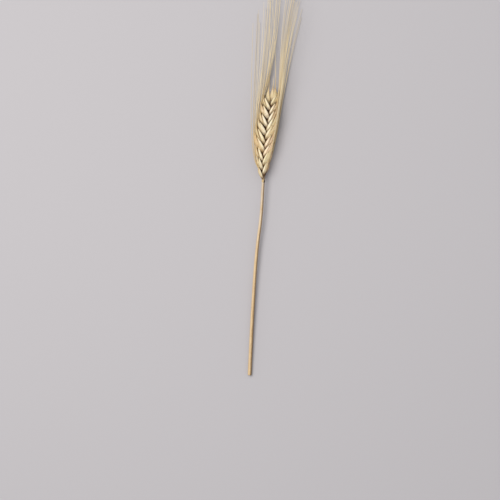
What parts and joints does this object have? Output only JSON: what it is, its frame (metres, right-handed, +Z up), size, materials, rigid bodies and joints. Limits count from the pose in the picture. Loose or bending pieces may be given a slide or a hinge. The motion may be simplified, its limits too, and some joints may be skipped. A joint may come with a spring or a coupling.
{
  "type": "wheat ear",
  "caption": "Bearded wheat ear on its cut straw stalk, lying down, with two rows of husked spikelets and long stiff awns.",
  "frame": {"origin": "on the surface that the ear lies on, under the middle of the object's box", "axes": "+Y along the ear towards the awn tips, +Z up from the surface, +X to the right of the ear seen from above"},
  "size_m": [0.0358, 0.3166, 0.0242],
  "materials": {
    "husk": "dry matt husk with golden edges",
    "straw": "dry satin straw with fine ribs"
  },
  "bodies": {
    "root": {"ear": "husk", "stem": "straw"}
  },
  "joints": []
}
